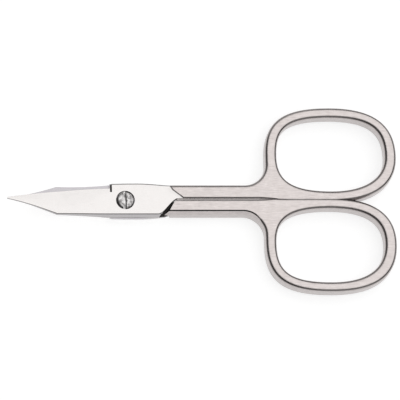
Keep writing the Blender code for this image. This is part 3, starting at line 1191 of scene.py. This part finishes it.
class Graph:
    """Adds and links the nodes of one tree, from left to right."""

    def __init__(self, tree: bpy.types.NodeTree) -> None:
        """Starts on an existing tree.

        Args:
            tree: The node tree to add to.
        """
        self.tree = tree
        self.column = 0

    def feed(self, node: bpy.types.Node, **links: object) -> bpy.types.Node:
        """Links output sockets to a node's inputs, or sets the inputs' values.

        Args:
            node: The node to feed.
            **links: A value or an output socket for each input. The key is the input's name, with
                underscores for spaces, or the letter i and its number.

        Returns:
            The node.
        """
        for key, value in links.items():
            socket = node.inputs[int(key[1:]) if key[1:].isdigit() else key.replace("_", " ")]
            if isinstance(value, bpy.types.NodeSocket):
                self.tree.links.new(value, socket)
            else:
                socket.default_value = value
        return node

    def add(self, kind: str, values: dict[str, object] | None = None, **links: object) -> bpy.types.Node:
        """Adds a node, sets its properties and feeds its inputs.

        Args:
            kind: The node's type name.
            values: Properties of the node itself.
            **links: What its inputs are fed.

        Returns:
            The new node.
        """
        node = self.tree.nodes.new(kind)
        node.location = (self.column * NODE_SPACING, 0)
        self.column += 1
        for key, value in (values or {}).items():
            setattr(node, key, value)
        return self.feed(node, **links)

    def work_out(self, operation: str, *values: object, clamp: bool = False) -> bpy.types.NodeSocket:
        """Adds one step of arithmetic.

        Args:
            operation: The step's name.
            *values: Its numbers or sockets, in order.
            clamp: Whether the result is kept from 0 to 1.

        Returns:
            The result.
        """
        links = {f"i{index}": value for index, value in enumerate(values)}
        return self.add("ShaderNodeMath", {"operation": operation, "use_clamp": clamp}, **links).outputs[0]

    def vector(self, operation: str, result: str, *values: object) -> bpy.types.NodeSocket:
        """Adds one step of vector arithmetic.

        Args:
            operation: The step's name.
            result: Vector or Value, the output that is wanted.
            *values: Its vectors or sockets, in order.

        Returns:
            The result.
        """
        links = {f"i{index}": value for index, value in enumerate(values)}
        return self.add("ShaderNodeVectorMath", {"operation": operation}, **links).outputs[result]

    def smooth_step(self, value: object, low: object, high: object) -> bpy.types.NodeSocket:
        """Adds a smooth rise from 0 at the low value to 1 at the high one.

        Args:
            value: What rises.
            low: Where the rise starts.
            high: Where it ends.

        Returns:
            The rise.
        """
        kind = {"interpolation_type": "SMOOTHSTEP"}
        return self.add("ShaderNodeMapRange", kind, Value=value, From_Min=low, From_Max=high).outputs[0]

    def mix(self, share: object, first: object, second: object) -> bpy.types.NodeSocket:
        """Adds a mix of two colours.

        Args:
            share: How far the mix is towards the second colour.
            first: First colour.
            second: Second colour.

        Returns:
            The mixed colour.
        """
        return self.add("ShaderNodeMix", {"data_type": "RGBA"}, i0=share, i6=first, i7=second).outputs[2]

    def mix_numbers(self, share: object, first: object, second: object) -> bpy.types.NodeSocket:
        """Adds a mix of two numbers.

        Args:
            share: How far the mix is towards the second number.
            first: First number.
            second: Second number.

        Returns:
            The mixed number.
        """
        return self.add("ShaderNodeMix", {"data_type": "FLOAT"}, i0=share, i2=first, i3=second).outputs[0]


def new_group(name: str, inputs: dict[str, float], outputs: Sequence[str]) -> bpy.types.NodeTree:
    """Makes an empty shader group with number inputs and outputs.

    Args:
        name: The group's name.
        inputs: Input names and their defaults.
        outputs: Output names.

    Returns:
        The group's tree, without nodes.
    """
    tree = bpy.data.node_groups.new(name, "ShaderNodeTree")
    for title, value in inputs.items():
        socket = tree.interface.new_socket(title, in_out="INPUT", socket_type="NodeSocketFloat")
        socket.default_value = value
    for title in outputs:
        tree.interface.new_socket(title, in_out="OUTPUT", socket_type="NodeSocketFloat")
    return tree


def grain() -> bpy.types.NodeTree:
    """Builds the group of marks on steel: fine lines along X, or blotches where length and width are equal.

    Returns:
        The group, with the marks' strength at each point as its output.
    """
    inputs = {"Length": 2.5 * MM, "Width": 0.2 * MM, "Detail": 3.0, "Contrast": 1.0, "Roughness": 0.62}
    tree = new_group("grain", inputs, ["Grain"])
    graph = Graph(tree)
    source = graph.add("NodeGroupInput").outputs
    along = graph.work_out("DIVIDE", 1.0, source["Length"])
    across = graph.work_out("DIVIDE", 1.0, source["Width"])
    scale = graph.add("ShaderNodeCombineXYZ", X=along, Y=across, Z=across).outputs[0]
    place = graph.add("ShaderNodeTexCoord").outputs["Object"]
    noise = graph.add(
        "ShaderNodeTexNoise",
        Vector=graph.vector("MULTIPLY", "Vector", place, scale),
        Scale=1.0,
        Detail=source["Detail"],
        Roughness=source["Roughness"],
    )
    centred = graph.work_out("SUBTRACT", noise.outputs[0], MIDDLE_SHARE)
    marks = graph.work_out("MULTIPLY_ADD", centred, source["Contrast"], MIDDLE_SHARE, clamp=True)
    graph.add("NodeGroupOutput", Grain=marks)
    return tree


def facing() -> bpy.types.NodeTree:
    """Builds the group that tells flats, rounded edges and sides apart by the way they face.

    Returns:
        The group: 1 on the ground flats, and 1 on the rounded edges between flats and sides.
    """
    limits = {"Side": 0.55, "Flat": 0.9}
    limits |= {"Edge Foot": 0.5, "Edge Low": 0.68, "Edge High": 0.84, "Edge Top": 0.94}
    tree = new_group("facing", limits, ["Flats", "Edges"])
    graph = Graph(tree)
    source = graph.add("NodeGroupInput").outputs
    place = graph.add("ShaderNodeTexCoord").outputs["Normal"]
    level = graph.work_out("ABSOLUTE", graph.add("ShaderNodeSeparateXYZ", i0=place).outputs["Z"])
    flats, foot, top = (
        graph.smooth_step(level, source[low], source[high])
        for low, high in (("Side", "Flat"), ("Edge Foot", "Edge Low"), ("Edge High", "Edge Top"))
    )
    # The Edges mask marks where the steels paint a dark reflection on rounded edges.
    edges = graph.work_out("SUBTRACT", foot, top, clamp=True)
    graph.add("NodeGroupOutput", Flats=flats, Edges=edges)
    return tree


@dataclass(frozen=True)
class Steel:
    """One steel finish: its tones on flats and on sides, which are darker partly for a satin finish and
    partly as painted shade, its painted dark reflection on rounded edges, and how its fine lines and
    blotches show.
    """

    finish: Finish
    flats: tuple[Colour, Colour]
    satin_shaded_sides: tuple[Colour, Colour]
    roughness: tuple[float, float]
    side_roughness: float
    line_length: float
    line_width: float
    contrast: float
    line_depth: float
    line_detail: float = 3.0
    blotch_size: float = 1.5 * MM
    blotch_share: float = 0.35
    blotch_contrast: float = 1.5
    blotch_detail: float = 2.0
    # Painted reflection: how far rounded edges are darkened towards the near-black edge colour, for the
    # dark reflection there.
    edge_share: float = 0.66
    dark_reflection_tone: Colour = (0.04, 0.038, 0.038)

    def make(self, effects: dict[str, bpy.types.NodeTree]) -> bpy.types.Material:
        """Builds the material.

        Args:
            effects: The shared groups by name.

        Returns:
            The material.
        """
        material = bpy.data.materials.new(self.finish.value)
        material.use_nodes = True
        graph = Graph(material.node_tree)
        marks = []
        for length, width, detail, contrast in (
            (self.line_length, self.line_width, self.line_detail, self.contrast),
            (self.blotch_size, self.blotch_size, self.blotch_detail, self.blotch_contrast),
        ):
            group = graph.add("ShaderNodeGroup", {"node_tree": effects["grain"]})
            graph.feed(group, Length=length, Width=width, Detail=detail, Contrast=contrast)
            marks.append(group.outputs["Grain"])
        faces = graph.add("ShaderNodeGroup", {"node_tree": effects["facing"]}).outputs
        share = graph.mix_numbers(self.blotch_share, *marks)
        # Sides are darker than flats, partly for their satin finish and partly as painted shade.
        satin_shaded_sides, flats = (
            graph.mix(share, (*dark, 1), (*light, 1))
            for dark, light in (self.satin_shaded_sides, self.flats)
        )
        # Painted reflection: rounded edges are darkened towards a near-black colour, standing in for their
        # dark reflection.
        edge_share = graph.work_out("MULTIPLY", faces["Edges"], self.edge_share)
        colour = graph.mix(edge_share, graph.mix(faces["Flats"], satin_shaded_sides, flats), (*self.dark_reflection_tone, 1))
        smoothest, roughest = self.roughness
        rough = graph.add("ShaderNodeMapRange", Value=share, To_Min=roughest, To_Max=smoothest).outputs[0]
        rough = graph.mix_numbers(faces["Flats"], self.side_roughness, rough)
        bump = graph.add("ShaderNodeBump", Distance=self.line_depth, Height=marks[0]).outputs[0]
        shader = material.node_tree.nodes["Principled BSDF"]
        graph.feed(shader, Metallic=1.0, Base_Color=colour, Roughness=rough, Normal=bump)
        return material


STEELS = (
    Steel(
        finish=Finish.BRUSHED,
        flats=((0.58, 0.525, 0.51), (0.90, 0.835, 0.815)),
        satin_shaded_sides=((0.42, 0.385, 0.38), (0.62, 0.575, 0.565)),
        roughness=(0.24, 0.34),
        side_roughness=0.26,
        line_length=2.2 * MM,
        line_width=0.22 * MM,
        contrast=2.0,
        line_depth=0.004 * MM,
    ),
    Steel(
        finish=Finish.POLISHED,
        flats=((0.85, 0.82, 0.805), (0.94, 0.91, 0.895)),
        satin_shaded_sides=((0.43, 0.415, 0.42), (0.51, 0.49, 0.50)),
        roughness=(0.10, 0.14),
        side_roughness=0.16,
        line_length=1.2 * MM,
        line_width=0.3 * MM,
        contrast=1.0,
        line_depth=0.0005 * MM,
        edge_share=0.84,
    ),
    Steel(
        finish=Finish.GROUND,
        flats=((0.55, 0.525, 0.55), (0.66, 0.635, 0.66)),
        satin_shaded_sides=((0.40, 0.38, 0.38), (0.50, 0.48, 0.48)),
        roughness=(0.18, 0.26),
        side_roughness=0.2,
        line_length=1.2 * MM,
        line_width=0.2 * MM,
        contrast=1.5,
        line_depth=0.001 * MM,
    ),
    Steel(
        finish=Finish.SCREW,
        flats=((0.20, 0.19, 0.19), (0.92, 0.90, 0.89)),
        satin_shaded_sides=((0.30, 0.29, 0.29), (0.45, 0.44, 0.44)),
        roughness=(0.14, 0.24),
        side_roughness=0.25,
        line_length=0.8 * MM,
        line_width=0.3 * MM,
        contrast=3.0,
        line_depth=0.004 * MM,
        blotch_size=0.7 * MM,
        blotch_share=0.75,
        blotch_contrast=4.5,
    ),
    # Painted shade: the near-black steel for gaps, the heel notch, the slot's corner and the line beside
    # the rear shank's flat.
    Steel(
        finish=Finish.PAINTED_SHADE,
        flats=((0.02, 0.019, 0.018), (0.07, 0.066, 0.063)),
        satin_shaded_sides=((0.015, 0.014, 0.014), (0.05, 0.047, 0.045)),
        roughness=(0.35, 0.5),
        side_roughness=0.45,
        line_length=1.0 * MM,
        line_width=0.25 * MM,
        contrast=1.5,
        line_depth=0.003 * MM,
    ),
)


# Studio


@dataclass(frozen=True)
class Studio:
    """A pale table, an overhead light box, dim surroundings and the camera."""

    pixels_per_mm: float = 4.3625
    sensor_width: float = 36.0
    clip_near: float = 0.01
    clip_far: float = 20.0
    distance: float = 1.5
    tilt: float = math.radians(15)
    lean: float = math.radians(7)
    target: tuple[float, float, float] = (-0.35 * MM, 0.4 * MM, 2.2 * MM)
    box_side: float = 2.4
    box_height: float = 2.0
    box_radiance: float = 0.02
    dim_low: Pairs = ((0, 0.35), (0.1, 0.12), (0.2, 0.04))
    dim_high: Pairs = ((0.6, 0.04), (0.73, 0.5), (0.81, 0.88), (0.97, 1.0))
    pale: Pairs = ((0, 0.6), (0.45, 0.6), (0.52, 0.2), (0.65, 0.3), (0.78, 1.0))
    cap_lean: tuple[float, float, float] = (0.35, 0.2, 1.0)
    corner_axis: tuple[float, float, float] = (0.6, -1.3, 0.0)
    corner_from: float = 1.12
    corner_to: float = 1.36
    table_side: float = 6.0
    table_line: float = -0.01
    floor_glow: float = 0.74
    floor_tone: float = 0.5

    def table(self) -> None:
        """Lays the pale table; its own glow makes it white in view and in the steel."""
        bpy.ops.mesh.primitive_plane_add(size=self.table_side)
        floor = named("table")
        material = bpy.data.materials.new("pale_table")
        material.use_nodes = True
        material.node_tree.nodes.clear()
        graph = Graph(material.node_tree)
        rays = graph.add("ShaderNodeLightPath").outputs
        seen = graph.work_out("MAXIMUM", rays["Is Camera Ray"], rays["Is Glossy Ray"])
        seen = graph.work_out("MAXIMUM", seen, rays["Is Transmission Ray"])
        strength = graph.work_out("MULTIPLY", seen, self.floor_glow)
        matt = graph.add("ShaderNodeBsdfDiffuse", Color=(self.floor_tone,) * 3 + (1,)).outputs[0]
        glow = graph.add("ShaderNodeEmission", Strength=strength).outputs[0]
        both = graph.add("ShaderNodeAddShader", i0=matt, i1=glow).outputs[0]
        graph.add("ShaderNodeOutputMaterial", Surface=both)
        floor.data.materials.append(material)

    def light_box(self) -> None:
        """Hangs the large soft light above the scissors."""
        bpy.ops.object.light_add(type="AREA", location=(0, 0, self.box_height))
        lamp = named("light_box")
        lamp.data.size = self.box_side
        lamp.data.energy = math.pi * self.box_side**2 * self.box_radiance
        lamp.visible_camera = False

    def wall(self, graph: Graph, height: bpy.types.NodeSocket, tones: Pairs) -> bpy.types.NodeSocket:
        """Adds one wall of the room, shaded by height.

        Args:
            graph: The room's nodes.
            height: How far up each direction points, from 0 to 1.
            tones: Height and tone of each step, from the table's level up.

        Returns:
            The wall's colour.
        """
        ramp = graph.add("ShaderNodeValToRGB", Fac=height)
        stops = ramp.color_ramp.elements
        stops.remove(stops[1])
        for index, (position, tone) in enumerate(tones):
            stop = stops[0] if index == 0 else stops.new(position)
            stop.position = position
            stop.color = (tone, tone, tone, 1)
        return ramp.outputs[0]

    def surroundings(self) -> None:
        """Sets the room: white below the table's level, dim walls, paler corners and a white ceiling."""
        world = bpy.data.worlds.new("room")
        bpy.context.scene.world = world
        world.use_nodes = True
        world.node_tree.nodes.clear()
        graph = Graph(world.node_tree)
        way = graph.add("ShaderNodeTexCoord").outputs["Generated"]
        height = graph.add("ShaderNodeSeparateXYZ", i0=way).outputs["Z"]
        slope = graph.vector("DOT_PRODUCT", "Value", way, self.cap_lean)
        dim = self.wall(graph, slope, (*self.dim_low, *self.dim_high))
        pale = self.wall(graph, height, self.pale)
        across = graph.work_out("ABSOLUTE", graph.vector("DOT_PRODUCT", "Value", way, self.corner_axis))
        reach = graph.vector("LENGTH", "Value", graph.vector("MULTIPLY", "Vector", way, (1, 1, 0)))
        corner = graph.work_out("DIVIDE", across, reach)
        walls = graph.mix(graph.smooth_step(corner, self.corner_from, self.corner_to), dim, pale)
        above = graph.work_out("GREATER_THAN", height, self.table_line)
        sky = graph.add("ShaderNodeBackground", Color=graph.mix(above, (1, 1, 1, 1), walls)).outputs[0]
        graph.add("ShaderNodeOutputWorld", Surface=sky)

    def camera(self) -> None:
        """Sets up the camera, leaning towards the lower and the left edge of the picture."""
        bpy.ops.object.camera_add()
        camera = named("camera")
        back = Vector((-math.tan(self.lean), -math.tan(self.tilt), 1)).normalized()
        up = back.cross(Vector((1, 0, 0))).normalized()
        right = up.cross(back)
        turn = Matrix((right, up, back)).transposed().to_4x4()
        camera.matrix_world = Matrix.Translation(Vector(self.target) + back * self.distance) @ turn
        camera.data.sensor_width = self.sensor_width
        camera.data.lens = self.pixels_per_mm / MM * self.sensor_width * self.distance / IMAGE_SIDE
        camera.data.clip_start = self.clip_near
        camera.data.clip_end = self.clip_far
        bpy.context.scene.camera = camera

    def build(self) -> None:
        """Builds the whole studio and sets the plain view transform."""
        self.camera()
        self.table()
        self.light_box()
        self.surroundings()
        bpy.context.scene.view_settings.view_transform = "Standard"
        LOG.info("studio: camera, table, light box and room")


def main() -> None:
    """Builds the studio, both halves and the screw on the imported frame."""
    logging.basicConfig(level=logging.INFO, format="%(name)s: %(message)s")
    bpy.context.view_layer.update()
    Studio().build()
    pivot = Pivot.from_frame()
    effects = {build.__name__: build() for build in (grain, facing)}
    finishes = {steel.finish: steel.make(effects) for steel in STEELS}
    Half.rear(pivot).make(finishes)
    Half.front(pivot).make(finishes)
    Screw(pivot, "pivot_screw", "rear", "pivot_screw_steel").make(finishes)


if __name__ == "__main__":
    main()
